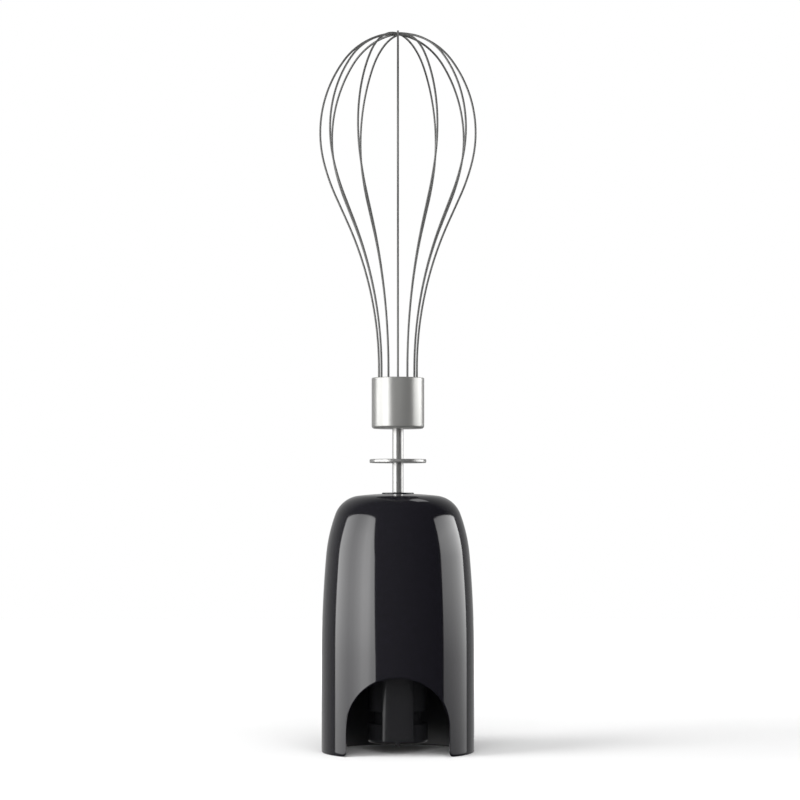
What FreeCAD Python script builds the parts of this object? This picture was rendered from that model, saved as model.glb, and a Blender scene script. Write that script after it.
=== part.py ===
"""Balloon-whisk attachment of a hand blender, standing in its gearbox housing.

+Z runs up the whisk's axis from the centre of the housing's base rim, and the housing's arched
window faces -Y.  A motor unit's drive turns the socket inside the collar; a planetary stage slows
it six times, and the carrier's hollow spindle turns the whisk, which pulls straight out upwards.
"""
import FreeCAD, Part
import math
import os
import re
import Sketcher
from FreeCAD import Vector

doc = FreeCAD.newDocument("WhiskAttachment")

# ---------------------------------------------------------------- driving dimensions (mm, degrees)
SIZES = {
    # housing shell: a straight skirt, then arcs that run into each other, up to a domed crown
    "body_radius": 33.0, "wall": 2.2, "straight_height": 42.0,
    "flank_radius": 500.0, "flank_drop": 26.97, "shoulder_radius": 69.4, "shoulder_drop": 8.97,
    "corner_radius": 12.3, "crown_top": 111.57,
    # arched window in the front of the skirt
    "arch_width": 43.5, "arch_height": 33.8, "arch_foot_radius": 2.0,
    # coupling collar that takes the motor unit
    "collar_radius": 13.0, "collar_bore": 8.6, "collar_bottom": 4.2, "collar_edge": 1.2,
    "groove_bottom": 12.4, "groove_top": 17.9, "groove_depth": 2.6,
    "key_width": 13.5, "key_height": 1.6, "key_bevel": 1.6, "nub_width": 2.1, "nub_drop": 0.5,
    "flange_top": 46.0, "flange_thickness": 2.5, "flange_gap": 1.2,
    # screws that clamp collar, gear case and cover to the bosses in the housing
    "screw_radius": 1.25, "screw_clearance": 0.2, "screw_bite": 8.5, "head_overhang": 1.05,
    "head_height": 1.8, "lug_radius": 3.0, "lug_land": 1.4, "boss_drop": 12.57,
    # gear case, cover and bearings
    "case_wall": 1.8, "case_height": 16.0, "cover_thickness": 2.5, "tube_wall": 1.2,
    "tube_gap": 0.4, "bush_wall": 1.6, "bush_length": 8.0, "gasket_thickness": 0.5,
    "input_bush_wall": 2.1, "input_bush_length": 7.0, "running_gap": 0.05,
    # involute gears, whose module fills the gear case
    "pressure_angle": 25.0, "sun_teeth": 12, "planet_teeth": 24,
    "addendum": 0.9, "dedendum": 1.2, "backlash": 0.16, "gear_gap": 0.25,
    # drive socket and its shaft
    "socket_bottom": 14.0, "socket_radius": 6.2, "socket_hex": 3.4, "socket_depth": 13.0,
    "socket_height": 22.0, "drive_shaft_radius": 2.5, "drive_shaft_seat": 8.0,
    # planet carrier
    "carrier_rim": 3.5, "carrier_lower": 1.3, "carrier_upper": 2.8, "carrier_room": 2.825,
    "case_room": 0.35, "pin_radius": 2.0, "washer_thickness": 0.4,
    # hollow spindle that holds the whisk
    "spindle_wall": 2.94, "spindle_sink": 0.37, "grip_depth": 38.0, "drive_flats": 3.4,
    "flats_length": 8.0, "grip_clearance": 0.06, "ring_wire": 0.7, "ring_drop": 6.0,
    # lip seal in the crown
    "seal_gap": 0.3, "seal_wall": 1.25, "seal_length": 5.9, "seal_flange": 1.4,
    "seal_flange_height": 2.2, "seal_stand": 0.33,
    # whisk
    "shaft_radius": 2.4, "disc_rise": 13.23, "disc_thickness": 1.6, "disc_radius": 12.35,
    "disc_edge": 0.4,
    "ferrule_rise": 28.13, "ferrule_height": 22.1, "ferrule_radius": 11.45, "ferrule_wall": 0.8,
    "ferrule_floor": 1.0, "ferrule_edge": 1.2, "plug_recess": 0.7, "wire_seat": 14.0,
    "shaft_seat": 16.0,
    "wire_radius": 0.45, "wire_inset": 2.38, "flare_rise": 3.9, "flare_radius": 156.4,
    "flare_turn": 24.2, "leg_length": 12.9, "belly_radius": 89.5, "belly_turn": 10.0,
    "upper_radius": 53.9, "upper_turn": 50.8, "crown_step": 0.2,
}
LOOPS = 6
PLANETS = 3

sheet = doc.addObject("Spreadsheet::Sheet", "Sizes")
for row, (name, value) in enumerate(SIZES.items(), start=1):
    sheet.set(f"A{row}", name)
    sheet.set(f"B{row}", str(value))
    sheet.setAlias(f"B{row}", name)
doc.recompute()


def size(name):
    """The value that the sheet holds under an alias."""
    return float(sheet.get(name))


def cells(text):
    """An expression with each alias written as a reference to the sheet."""
    return re.sub(r"[a-z_]+", lambda word: "Sizes." + word[0] if word[0] in SIZES else word[0],
                  str(text))


# ---------------------------------------------------------------- ways of making a piece
def bind(item, **properties):
    for name, text in properties.items():
        item.setExpression(name.replace("__", "."), cells(text))
    return item


def cylinder(label, radius, height, at_x="0", at_y="0", at_z="0"):
    item = doc.addObject("Part::Cylinder", label)
    return bind(item, Radius=radius, Height=height, Placement__Base__x=at_x,
                Placement__Base__y=at_y, Placement__Base__z=at_z)


def around(radius, angle):
    """The two coordinates, as expressions, of a place on a circle about the axis."""
    return f"({radius}) * cos({angle})", f"({radius}) * sin({angle})"


def ring_of(label, count, first, circle, radius, height, at_z):
    """Equal cylinders evenly spaced on a circle about the axis."""
    pieces = []
    for number in range(count):
        at_x, at_y = around(circle, first + number * 360 / count)
        pieces.append(cylinder(f"{label}_{number + 1}", radius, height, at_x, at_y, at_z))
    return pieces


def joined(label, shapes):
    item = doc.addObject("Part::MultiFuse", label)
    item.Shapes = shapes
    return item


def less(label, base, tools):
    """The base with every tool taken out of it."""
    item = doc.addObject("Part::Cut", label)
    item.Base = base
    item.Tool = tools[0] if len(tools) == 1 else joined(label + "_tools", tools)
    return item


def outline(body, name, role, corners):
    """A closed polygon sketch in one of a body's origin planes, each corner bound to the sheet."""
    sketch = body.newObject("Sketcher::SketchObject", name)
    plane = next(p for p in body.Origin.OriginFeatures if p.Role == role)
    sketch.AttachmentSupport = [(plane, "")]
    sketch.MapMode = "FlatFace"
    last = len(corners) - 1
    start = [Vector(10 + 8 * math.cos(6.28 * n / len(corners)),
                    10 + 8 * math.sin(6.28 * n / len(corners)), 0) for n in range(last + 1)]
    for number in range(last + 1):
        after = start[(number + 1) % (last + 1)]
        sketch.addGeometry(Part.LineSegment(start[number], after), False)
    for number in range(last + 1):
        following = (number + 1) % (last + 1)
        sketch.addConstraint(Sketcher.Constraint("Coincident", number, 2, following, 1))
    for number, (across, up) in enumerate(corners):
        for kind, text, value in (("DistanceX", across, start[number].x),
                                  ("DistanceY", up, start[number].y)):
            if str(text) == "0":
                axis = -2 if kind == "DistanceX" else -1
                sketch.addConstraint(Sketcher.Constraint("PointOnObject", number, 1, axis))
                continue
            index = sketch.addConstraint(Sketcher.Constraint(kind, -1, 1, number, 1, value))
            sketch.setExpression(f"Constraints[{index}]", cells(text))
    return sketch


def turned(label, corners):
    """A body turned about +Z from (radius, height) corners."""
    body = doc.addObject("PartDesign::Body", label)
    sketch = outline(body, label + "_outline", "XZ_Plane", corners)
    turn = body.newObject("PartDesign::Revolution", label + "_turn")
    turn.Profile = sketch
    turn.ReferenceAxis = (sketch, ["V_Axis"])
    turn.Angle = 360
    return body


def raised(label, corners, bottom, height):
    """A body raised along +Z from an outline given in plan."""
    body = doc.addObject("PartDesign::Body", label)
    sketch = outline(body, label + "_outline", "XY_Plane", corners)
    bind(sketch, AttachmentOffset__Base__z=bottom)
    pad = body.newObject("PartDesign::Pad", label + "_pad")
    pad.Profile = sketch
    bind(pad, Length=height)
    return body


def rounded(body, radius, height, fillet):
    """Round the circular edges of a turned body that lie at one radius and height."""
    doc.recompute()
    tip = body.Tip
    names = []
    for number, edge in enumerate(tip.Shape.Edges, start=1):
        box = edge.BoundBox
        if abs(box.XMax - size_of(radius)) < 0.01 and box.ZLength < 0.01:
            if abs(box.ZMin - size_of(height)) < 0.01:
                names.append(f"Edge{number}")
    if not names:
        raise ValueError(f"{body.Label} has no edge to round")
    feature = body.newObject("PartDesign::Fillet", f"{body.Label}_edge_{len(body.Group)}")
    feature.Base = (tip, names)
    bind(feature, Radius=fillet)
    return body


def size_of(text):
    """The value of a plain sum of sizes, such as a + b - c."""
    total = 0.0
    for sign, name in re.findall(r"([+-]?)\s*([a-z_]+)", text):
        total += -size(name) if sign == "-" else size(name)
    return total


def computed(label, shape):
    """A piece whose shape comes from formulas that no sketch or primitive holds."""
    item = doc.addObject("Part::Feature", label)
    item.Shape = shape
    return item


# radii and heights that several pieces share, outwards and upwards
FLANGE_RADIUS = "body_radius - wall - flange_gap"
SCREW_CIRCLE = FLANGE_RADIUS + " - lug_radius"
CASE_RADIUS = SCREW_CIRCLE + " - lug_land"
CASE_BORE = CASE_RADIUS + " - case_wall"
MODULE = f"({CASE_BORE}) / (sun_teeth / 2 + planet_teeth + dedendum)"
ARM = f"{MODULE} * (sun_teeth + planet_teeth) / 2"
SPINDLE = "shaft_radius + grip_clearance + spindle_wall"
BUSH_SEAT = SPINDLE + " + bush_wall"
TUBE = BUSH_SEAT + " + tube_wall"
INPUT_BUSH = "drive_shaft_radius + input_bush_wall"
SEAL_BORE = SPINDLE + " + seal_gap"
SEAL = SEAL_BORE + " + seal_wall"
FLANGE_BOTTOM = "flange_top - flange_thickness"
BORE_ROOF = "flange_top - input_bush_length"
GEAR_HEIGHT = "case_height - carrier_lower - carrier_upper - gear_gap - gear_gap - gear_gap" \
    " - case_room"
GEAR_TOP = "flange_top + case_height"
COVER_BOTTOM = "flange_top + case_height + gasket_thickness"
COVER_TOP = "flange_top + case_height + gasket_thickness + cover_thickness"
PLANET_BOTTOM = "flange_top + gear_gap + carrier_lower + gear_gap"
PLATE_FOOT = f"{PLANET_BOTTOM} + {GEAR_HEIGHT} + gear_gap"
CARRIER_TOP = PLATE_FOOT + " + carrier_upper"
FLANK_TOP = "crown_top - flank_drop"
SHOULDER_TOP = "crown_top - shoulder_drop"
SEAL_TOP = "crown_top + seal_stand"
SEAL_BOTTOM = SEAL_TOP + " - seal_length"
TUBE_TOP = SEAL_BOTTOM + " - tube_gap"
SPINDLE_TOP = "crown_top - spindle_sink"
SHAFT_BOTTOM = SPINDLE_TOP + " - grip_depth"
DISC_BOTTOM = "crown_top + disc_rise"
FERRULE_BOTTOM = "crown_top + ferrule_rise"
FERRULE_TOP = FERRULE_BOTTOM + " + ferrule_height"
CLEAR_HOLE = "screw_radius + screw_clearance"
nodes = []


# ---------------------------------------------------------------- housing shell
def shell_solid(label, inset):
    """The solid inside the housing's skin, set in by a distance: a chain of tangent arcs."""
    radii = [size("flank_radius"), size("shoulder_radius"), size("corner_radius")]
    centres = [Vector(size("body_radius") - radii[0], 0, size("straight_height"))]
    turns = [math.asin((size_of(FLANK_TOP) - centres[0].z) / radii[0])]
    step = Vector(math.cos(turns[0]), 0, math.sin(turns[0])) * (radii[0] - radii[1])
    centres.append(centres[0] + step)
    turns.append(math.asin((size_of(SHOULDER_TOP) - centres[1].z) / radii[1]))
    step = Vector(math.cos(turns[1]), 0, math.sin(turns[1])) * (radii[1] - radii[2])
    centres.append(centres[1] + step)
    # the crown is the arc that meets the corner's and passes level through the crown's top
    rise = size("crown_top") - centres[2].z
    radii.append((centres[2].x ** 2 + rise ** 2 - radii[2] ** 2) / (2 * (rise - radii[2])))
    drop = radii[3] - rise
    centres.append(Vector(0, 0, centres[2].z - drop))
    turns.append(math.atan2(drop, centres[2].x))
    turns.append(math.pi / 2)
    skin = size("body_radius") - inset
    edges = [Part.LineSegment(Vector(0, 0, 0), Vector(skin, 0, 0)),
             Part.LineSegment(Vector(skin, 0, 0), Vector(skin, 0, centres[0].z))]
    begin = 0.0
    for centre, radius, end in zip(centres, radii, turns):
        points = [centre + Vector(math.cos(turn), 0, math.sin(turn)) * (radius - inset)
                  for turn in (begin, (begin + end) / 2, end)]
        edges.append(Part.Arc(*points))
        begin = end
    edges.append(Part.LineSegment(points[2], Vector(0, 0, 0)))
    face = Part.Face(Part.Wire([edge.toShape() for edge in edges]))
    return computed(label, face.revolve(Vector(0, 0, 0), Vector(0, 0, 1), 360))


def arch_cutter():
    """The window's outline, with a round head and feet that turn outwards, run out forwards."""
    half = size("arch_width") / 2
    spring = size("arch_height") - half
    foot = size("arch_foot_radius")
    bend = foot * (1 - math.sqrt(0.5))
    below = -1.0
    right = [Vector(half + foot, 0, below), Vector(half + foot, 0, 0),
             Vector(half + bend, 0, bend), Vector(half, 0, foot), Vector(half, 0, spring)]
    left = [Vector(-point.x, 0, point.z) for point in right]
    head = Vector(0, 0, size("arch_height"))
    edges = [Part.LineSegment(left[0], right[0]), Part.LineSegment(right[0], right[1]),
             Part.Arc(right[1], right[2], right[3]), Part.LineSegment(right[3], right[4]),
             Part.Arc(right[4], head, left[4]), Part.LineSegment(left[4], left[3]),
             Part.Arc(left[3], left[2], left[1]), Part.LineSegment(left[1], left[0])]
    face = Part.Face(Part.Wire([edge.toShape() for edge in edges]))
    return computed("arch_cutter", face.extrude(Vector(0, -2 * size("body_radius"), 0)))


skin_outside = shell_solid("skin_outside", 0.0)
skin_inside = shell_solid("skin_inside", size("wall"))
shell = less("hollow_shell", skin_outside, [skin_inside])
boss_posts = joined("boss_posts", ring_of("boss", 3, 60, SCREW_CIRCLE, "lug_radius - 0.1",
                                          f"crown_top - boss_drop - ({COVER_TOP})", COVER_TOP))
bosses = doc.addObject("Part::MultiCommon", "bosses")
bosses.Shapes = [boss_posts, skin_outside]
shell = joined("shell_with_bosses", [shell, bosses])
crown_hole = cylinder("crown_hole", SEAL, "crown_top", at_z=SEAL_BOTTOM)
SCREW_LENGTH = f"{COVER_TOP} - ({FLANGE_BOTTOM}) + screw_bite"
pilots = ring_of("pilot", 3, 60, SCREW_CIRCLE, "screw_radius", SCREW_LENGTH, FLANGE_BOTTOM)
outer_housing = less("outer_housing", shell, [arch_cutter(), crown_hole] + pilots)
nodes.append(outer_housing)


# ---------------------------------------------------------------- coupling collar
collar = turned("collar_turned", [
    ("collar_bore", "collar_bottom"), ("collar_radius", "collar_bottom"),
    ("collar_radius", "groove_bottom"), ("collar_radius - groove_depth", "groove_bottom"),
    ("collar_radius - groove_depth", "groove_top"), ("collar_radius", "groove_top"),
    ("collar_radius", FLANGE_BOTTOM), (FLANGE_RADIUS, FLANGE_BOTTOM),
    (FLANGE_RADIUS, "flange_top"), (INPUT_BUSH, "flange_top"), (INPUT_BUSH, BORE_ROOF),
    ("collar_bore", BORE_ROOF)])
rounded(collar, "collar_radius", "collar_bottom", "collar_edge")
keys = []
for side, name in ((-1, "front_key"), (1, "back_key")):
    root = f"{side} * (collar_bore - key_height)"
    edge = f"{side} * (collar_radius + key_height - key_bevel)"
    face = f"{side} * (collar_radius + key_height)"
    keys.append(raised(name, [
        ("-key_width / 2", root), ("-key_width / 2", edge), ("-key_width / 2 + key_bevel", face),
        ("key_width / 2 - key_bevel", face), ("key_width / 2", edge), ("key_width / 2", root)],
        "collar_bottom + collar_edge", FLANGE_BOTTOM + " - collar_bottom - collar_edge"))
nub = raised("key_nub", [
    ("-nub_width / 2", "-collar_radius + collar_edge"),
    ("-nub_width / 2", "-collar_radius - key_height + nub_drop"),
    ("nub_width / 2", "-collar_radius - key_height + nub_drop"),
    ("nub_width / 2", "-collar_radius + collar_edge")],
    "collar_bottom - nub_drop", "collar_edge + nub_drop + nub_drop")
collar_holes = ring_of("collar_hole", 3, 60, SCREW_CIRCLE, CLEAR_HOLE, "flange_thickness * 3",
                       "flange_top - flange_thickness * 2")
collar_holes.append(cylinder("bore_through_keys", "collar_bore", BORE_ROOF))
coupling_collar = less("coupling_collar", joined("collar_keyed", [collar] + keys + [nub]),
                       collar_holes)
nodes.append(coupling_collar)


# ---------------------------------------------------------------- involute gears
SUN, PLANET = int(size("sun_teeth")), int(size("planet_teeth"))
RING = SUN + 2 * PLANET
MODULE_SIZE = size_of(CASE_BORE) / (SUN / 2 + PLANET + size("dedendum"))


def gear_wire(teeth, inner, middle_of_tooth):
    """A gear's closed outline: each flank is an arc through three points of its involute."""
    module = MODULE_SIZE
    pitch = module * teeth / 2
    base = pitch * math.cos(math.radians(size("pressure_angle")))
    if inner:
        tip, root = pitch - size("addendum") * module, pitch + size("dedendum") * module
    else:
        tip, root = pitch + size("addendum") * module, pitch - size("dedendum") * module
    low, high = min(tip, root), max(tip, root)
    start = max(low, base)

    def roll(radius):
        lean = math.acos(min(1.0, base / radius))
        return math.tan(lean) - lean

    half = math.pi / (2 * teeth) + (1 if inner else -1) * size("backlash") / (4 * pitch)
    at_base = half + roll(pitch)

    def point(radius, side, turn):
        angle = turn + side * (at_base - roll(radius))
        return Vector(radius * math.cos(angle), radius * math.sin(angle), 0)

    edges = []
    for number in range(teeth):
        turn = 2 * math.pi * number / teeth + middle_of_tooth
        following = turn + 2 * math.pi / teeth
        radii = [start, (start + high) / 2, high]
        rise = [point(radius, -1, turn) for radius in radii]
        fall = [point(radius, 1, turn) for radius in reversed(radii)]
        foot_out, foot_in = fall[2], point(start, -1, following)
        if start > low + 1e-6:
            shrink = low / start
            edges.append(Part.LineSegment(rise[0] * shrink, rise[0]))
            foot_out, foot_in = foot_out * shrink, foot_in * shrink
        edges.append(Part.Arc(*rise))
        crest = Vector(high * math.cos(turn), high * math.sin(turn), 0)
        edges.append(Part.Arc(rise[2], crest, fall[0]))
        edges.append(Part.Arc(*fall))
        if start > low + 1e-6:
            edges.append(Part.LineSegment(fall[2], foot_out))
        between = (turn + following) / 2
        valley = Vector(low * math.cos(between), low * math.sin(between), 0)
        edges.append(Part.Arc(foot_out, valley, foot_in))
    return Part.Wire([edge.toShape() for edge in edges])


def gear(label, wire, bore, across, away):
    """A spur gear with a plain bore, its axis at one place in plan."""
    height = size_of(GEAR_HEIGHT)
    blank = Part.Face(wire).extrude(Vector(0, 0, height))
    item = computed(label, blank.cut(Part.makeCylinder(bore, height)))
    item.Placement.Base = Vector(across, away, size_of(PLANET_BOTTOM))
    return item


ring_blank = less("ring_blank", joined("ring_lugged", [
    cylinder("ring_disc", CASE_RADIUS, "case_height", at_z="flange_top")]
    + ring_of("ring_lug", 3, 60, SCREW_CIRCLE, "lug_radius", "case_height", "flange_top")),
    ring_of("ring_hole", 3, 60, SCREW_CIRCLE, CLEAR_HOLE, "case_height * 2",
            "flange_top - case_height / 2"))
# inside an internal gear the air has the tooth's outline, so the cutter's teeth are its spaces
ring_space = Part.Face(gear_wire(RING, True, 0.0))
ring_space.translate(Vector(0, 0, size("flange_top")))
ring_cutter = computed("ring_cutter", ring_space.extrude(Vector(0, 0, size("case_height"))))
ring_gear = less("ring_gear", ring_blank, [ring_cutter])
nodes.append(ring_gear)

arm = MODULE_SIZE * (SUN + PLANET) / 2
for number in range(PLANETS):
    angle = 2 * math.pi / PLANETS * number
    nodes.append(gear(f"planet_gear_{number + 1}", gear_wire(PLANET, False, 0.0),
                      size("pin_radius") + size("running_gap"),
                      arm * math.cos(angle), arm * math.sin(angle)))
sun_gear = gear("sun_gear", gear_wire(SUN, False, math.pi / SUN), size("drive_shaft_radius"), 0, 0)
nodes.append(sun_gear)


# ---------------------------------------------------------------- gasket, cover and bearings
def lugged_plate(label, bottom, height, bore):
    """A round plate with three screw lugs and a bore."""
    solid = joined(label + "_solid", [cylinder(label + "_disc", CASE_RADIUS, height, at_z=bottom)]
                   + ring_of(label + "_lug", 3, 60, SCREW_CIRCLE, "lug_radius", height, bottom))
    holes = ring_of(label + "_hole", 3, 60, SCREW_CIRCLE, CLEAR_HOLE, "case_height",
                    f"{bottom} - case_height / 2")
    return less(label, solid, holes + [cylinder(label + "_bore", bore, "case_height",
                                                at_z=f"{bottom} - case_height / 2")])


case_gasket = lugged_plate("case_gasket", GEAR_TOP, "gasket_thickness", CASE_BORE)
nodes.append(case_gasket)
cover_plate = lugged_plate("cover_plate", COVER_BOTTOM, "cover_thickness", BUSH_SEAT)
cover_tube = turned("cover_tube", [
    (BUSH_SEAT, COVER_BOTTOM), (TUBE, COVER_BOTTOM), (TUBE, TUBE_TOP), (BUSH_SEAT, TUBE_TOP)])
gearbox_cover = joined("gearbox_cover", [cover_plate, cover_tube])
nodes.append(gearbox_cover)


def bush(label, outer, inner, bottom, height):
    top = f"{bottom} + {height}"
    nodes.append(turned(label, [(inner, bottom), (outer, bottom), (outer, top), (inner, top)]))


SPINDLE_RUN = SPINDLE + " + running_gap"
bush("input_bush", INPUT_BUSH, "drive_shaft_radius + running_gap", BORE_ROOF,
     "input_bush_length")
bush("output_bush_lower", BUSH_SEAT, SPINDLE_RUN, COVER_BOTTOM, "bush_length")
bush("output_bush_upper", BUSH_SEAT, SPINDLE_RUN, TUBE_TOP + " - bush_length", "bush_length")
SEAL_STEP = SEAL_BOTTOM + " + seal_flange_height"
crown_seal = turned("crown_seal", [
    (SEAL_BORE, SEAL_BOTTOM), (SEAL + " + seal_flange", SEAL_BOTTOM),
    (SEAL + " + seal_flange", SEAL_STEP), (SEAL, SEAL_STEP), (SEAL, SEAL_TOP),
    (SEAL_BORE, SEAL_TOP)])
nodes.append(crown_seal)
for number in range(3):
    at_x, at_y = around(SCREW_CIRCLE, 60 + 120 * number)
    shank = cylinder(f"shank_{number + 1}", "screw_radius", SCREW_LENGTH, at_x, at_y,
                     FLANGE_BOTTOM)
    head = cylinder(f"head_{number + 1}", "screw_radius + head_overhang", "head_height",
                    at_x, at_y, FLANGE_BOTTOM + " - head_height")
    slot = cylinder(f"recess_{number + 1}", "(screw_radius + head_overhang) / 2",
                    "head_height / 2", at_x, at_y, FLANGE_BOTTOM + " - head_height")
    nodes.append(less(f"case_screw_{number + 1}", joined(f"screw_solid_{number + 1}",
                                                         [shank, head]), [slot]))


# ---------------------------------------------------------------- drive socket and its shaft
socket_blank = turned("socket_blank", [
    ("0", "socket_bottom"), ("socket_radius", "socket_bottom"),
    ("socket_radius", "socket_bottom + socket_height"), ("0", "socket_bottom + socket_height")])
socket_hex = bind(doc.addObject("Part::Prism", "socket_hex_hole"), Circumradius="socket_hex",
                  Height="socket_depth", Placement__Base__z="socket_bottom")
socket_hex.Polygon = 6
shaft_seat = cylinder("drive_shaft_hole", "drive_shaft_radius", "drive_shaft_seat",
                      at_z="socket_bottom + socket_height - drive_shaft_seat")
drive_socket = less("drive_socket", socket_blank, [socket_hex, shaft_seat])
nodes.append(drive_socket)
shaft_foot = "socket_bottom + socket_height - drive_shaft_seat"
nodes.append(cylinder("drive_shaft", "drive_shaft_radius",
                      f"{PLANET_BOTTOM} + {GEAR_HEIGHT} - ({shaft_foot})", at_z=shaft_foot))


# ---------------------------------------------------------------- planet carrier and spindle
CARRIER_FLOOR = "flange_top + gear_gap"
CARRIER_RADIUS = ARM + " + pin_radius + carrier_rim"
CARRIER_HOLE = f"{MODULE} * (sun_teeth / 2 + addendum) + carrier_room"
pin_holes = ring_of("lower_pin_hole", PLANETS, 0, ARM, "pin_radius", "carrier_lower * 3",
                    "flange_top - carrier_lower")
carrier_lower = less("carrier_lower_plate", cylinder(
    "lower_disc", CARRIER_RADIUS, "carrier_lower", at_z=CARRIER_FLOOR),
    pin_holes + [cylinder("lower_centre", CARRIER_HOLE, "carrier_lower * 3",
                          at_z="flange_top - carrier_lower")])
nodes.append(carrier_lower)
upper_holes = ring_of("upper_pin_hole", PLANETS, 0, ARM, "pin_radius", "carrier_upper",
                      PLATE_FOOT)
carrier_upper = less("carrier_upper_plate", cylinder(
    "upper_disc", CARRIER_RADIUS, "carrier_upper", at_z=PLATE_FOOT),
    upper_holes + [cylinder("upper_centre", SPINDLE, "carrier_upper", at_z=PLATE_FOOT)])
nodes.append(carrier_upper)
for number in range(PLANETS):
    at_x, at_y = around(ARM, 360 / PLANETS * number)
    nodes.append(cylinder(f"planet_pin_{number + 1}", "pin_radius",
                          f"{CARRIER_TOP} - ({CARRIER_FLOOR})", at_x, at_y, CARRIER_FLOOR))
bush("carrier_washer", TUBE, SPINDLE, CARRIER_TOP, "washer_thickness")

BORE = "shaft_radius + grip_clearance"
RING_FLOOR = SPINDLE_TOP + " - ring_drop"
spindle_blank = turned("spindle_blank", [
    ("0", PLATE_FOOT), (SPINDLE, PLATE_FOOT), (SPINDLE, SPINDLE_TOP), (BORE, SPINDLE_TOP),
    (BORE, f"{RING_FLOOR} + ring_wire * 2.4"),
    (f"{BORE} + ring_wire * 2.2", f"{RING_FLOOR} + ring_wire * 2.4"),
    (f"{BORE} + ring_wire * 2.2", RING_FLOOR), (BORE, RING_FLOOR), (BORE, SHAFT_BOTTOM),
    ("0", SHAFT_BOTTOM)])


def flatted_rod(label, radius, flats, bottom, height):
    """A rod with two opposite flats."""
    rod = cylinder(label + "_rod", radius, height, at_z=bottom)
    slab = bind(doc.addObject("Part::Box", label + "_slab"), Length=flats, Width="shaft_radius * 4",
                Height=height, Placement__Base__x=f"-({flats}) / 2",
                Placement__Base__y="-shaft_radius * 2", Placement__Base__z=bottom)
    item = doc.addObject("Part::MultiCommon", label)
    item.Shapes = [rod, slab]
    return item


output_spindle = less("output_spindle", spindle_blank, [flatted_rod(
    "flats_hole", BORE, "drive_flats + grip_clearance * 2",
    f"{SHAFT_BOTTOM} - flats_length - grip_clearance", "flats_length + grip_clearance")])
nodes.append(output_spindle)
grip_ring = doc.addObject("Part::Torus", "grip_ring")
bind(grip_ring, Radius1=f"{BORE} + ring_wire", Radius2="ring_wire",
     Placement__Base__z=f"{RING_FLOOR} + ring_wire * 1.2")
nodes.append(grip_ring)


# ---------------------------------------------------------------- whisk
FERRULE_FLOOR = FERRULE_BOTTOM + " + ferrule_floor"
SHAFT_TOP = FERRULE_FLOOR + " + shaft_seat"
whisk_shaft = joined("whisk_shaft", [
    cylinder("shaft_rod", "shaft_radius", f"{SHAFT_TOP} - ({SHAFT_BOTTOM})", at_z=SHAFT_BOTTOM),
    flatted_rod("shaft_flats", "shaft_radius", "drive_flats", f"{SHAFT_BOTTOM} - flats_length",
                "flats_length")])
nodes.append(whisk_shaft)
splash_disc = turned("splash_disc", [
    ("shaft_radius", DISC_BOTTOM), ("disc_radius", DISC_BOTTOM),
    ("disc_radius", DISC_BOTTOM + " + disc_thickness"),
    ("shaft_radius", DISC_BOTTOM + " + disc_thickness")])
rounded(splash_disc, "disc_radius", DISC_BOTTOM, "disc_edge")
rounded(splash_disc, "disc_radius", DISC_BOTTOM + " + disc_thickness", "disc_edge")
nodes.append(splash_disc)
ferrule = turned("ferrule", [
    ("shaft_radius", FERRULE_BOTTOM), ("ferrule_radius", FERRULE_BOTTOM),
    ("ferrule_radius", FERRULE_TOP), ("ferrule_radius - ferrule_wall", FERRULE_TOP),
    ("ferrule_radius - ferrule_wall", FERRULE_FLOOR),
    ("shaft_radius", FERRULE_FLOOR)])
rounded(ferrule, "ferrule_radius", FERRULE_BOTTOM, "ferrule_edge")
nodes.append(ferrule)
PLUG_TOP = FERRULE_TOP + " - plug_recess"
WIRE_CIRCLE = "ferrule_radius - ferrule_wall - wire_inset"
plug_blank = turned("plug_blank", [
    ("0", FERRULE_FLOOR),
    ("ferrule_radius - ferrule_wall", FERRULE_FLOOR),
    ("ferrule_radius - ferrule_wall", PLUG_TOP), ("0", PLUG_TOP)])
wire_holes = ring_of("wire_hole", 2 * LOOPS, 0, WIRE_CIRCLE, "wire_radius", "wire_seat",
                     PLUG_TOP + " - wire_seat")
shaft_hole = cylinder("plug_shaft_hole", "shaft_radius", "shaft_seat",
                      at_z=FERRULE_FLOOR)
ferrule_plug = less("ferrule_plug", plug_blank, wire_holes + [shaft_hole])
nodes.append(ferrule_plug)


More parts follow.
